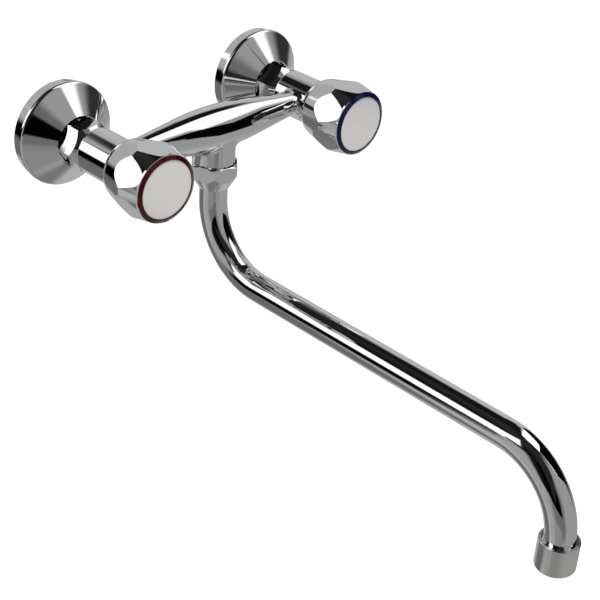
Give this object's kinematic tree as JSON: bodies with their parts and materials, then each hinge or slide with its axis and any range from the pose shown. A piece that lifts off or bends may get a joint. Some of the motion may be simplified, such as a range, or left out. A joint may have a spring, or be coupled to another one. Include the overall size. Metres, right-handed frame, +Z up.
{
  "type": "two handle kitchen faucet",
  "caption": "Wall-mounted kitchen faucet with two faceted knobs, a tapered crosspiece between them and a long swivelling tube spout slung below it.",
  "frame": {"origin": "on the finished wall, midway between the two inlets, at the height of the handle axes", "axes": "+X from the hot side to the cold side, which is to the right for somebody facing the wall; +Y into the wall; +Z up. The spout is stored pointing straight out from the wall, with both valves shut."},
  "size_m": [0.2126, 0.3571, 0.1812],
  "materials": {
    "chrome": "polished chrome plate on brass and zinc",
    "brass": "machined, unplated",
    "rubber": "matt black",
    "steel": "plain stainless",
    "ring_hot": "glossy dark red",
    "ring_cold": "glossy dark blue",
    "cap": "satin light grey metal",
    "plastic": "white moulded plastic",
    "nickel": "satin nickel plate"
  },
  "bodies": {
    "valve_body": {"hot_wall_flange": "chrome", "hot_eccentric_union": "brass", "hot_inlet_washer": "rubber", "hot_union_bushing": "brass", "hot_union_nut": "chrome", "hot_headwork_gasket": "rubber", "hot_headwork_housing": "brass", "cold_wall_flange": "chrome", "cold_eccentric_union": "brass", "cold_inlet_washer": "rubber", "cold_union_bushing": "brass", "cold_union_nut": "chrome", "cold_headwork_gasket": "rubber", "cold_headwork_housing": "brass", "faucet_body": "chrome", "spout_slip_ring": "plastic", "spout_nut": "chrome"},
    "hot_handle": {"hot_spindle": "brass", "hot_spindle_o_rings": "rubber", "hot_spindle_clip": "steel", "hot_knob": "chrome", "hot_knob_screw": "steel", "hot_index_ring": "ring_hot", "hot_knob_cap": "cap"},
    "cold_handle": {"cold_spindle": "brass", "cold_spindle_o_rings": "rubber", "cold_spindle_clip": "steel", "cold_knob": "chrome", "cold_knob_screw": "steel", "cold_index_ring": "ring_cold", "cold_knob_cap": "cap"},
    "hot_piston": {"hot_piston": "brass", "hot_seat_washer": "rubber", "hot_washer_screw": "brass"},
    "cold_piston": {"cold_piston": "brass", "cold_seat_washer": "rubber", "cold_washer_screw": "brass"},
    "spout": {"spout_tube": "chrome", "spout_collar": "brass", "spout_o_rings": "rubber", "outlet_bush": "chrome", "aerator_housing": "nickel", "aerator_seal": "rubber", "aerator_insert": "plastic", "aerator_screen": "steel"}
  },
  "joints": [
    {"name": "hot_handle_turn", "type": "hinge", "parent": "valve_body", "child": "hot_handle", "pos_m": [-0.075, -0.08, 0], "axis": [0, -1, 0], "range_deg": [0, 720]},
    {"name": "hot_piston_lift", "type": "slide", "parent": "valve_body", "child": "hot_piston", "axis": [0, -1, 0], "range_m": [0, 0.004]},
    {"name": "cold_handle_turn", "type": "hinge", "parent": "valve_body", "child": "cold_handle", "pos_m": [0.075, -0.08, 0], "axis": [0, -1, 0], "range_deg": [0, 720]},
    {"name": "cold_piston_lift", "type": "slide", "parent": "valve_body", "child": "cold_piston", "axis": [0, -1, 0], "range_m": [0, 0.004]},
    {"name": "spout_swivel", "type": "hinge", "parent": "valve_body", "child": "spout", "pos_m": [0, -0.0527, -0.03], "axis": [0, 0, 1], "range_deg": [-95, 95]}
  ],
  "couplings": [
    {"joint": "hot_piston_lift", "follows": "hot_handle_turn", "m_per_rad": 0.000318},
    {"joint": "cold_piston_lift", "follows": "cold_handle_turn", "m_per_rad": 0.000318}
  ]
}
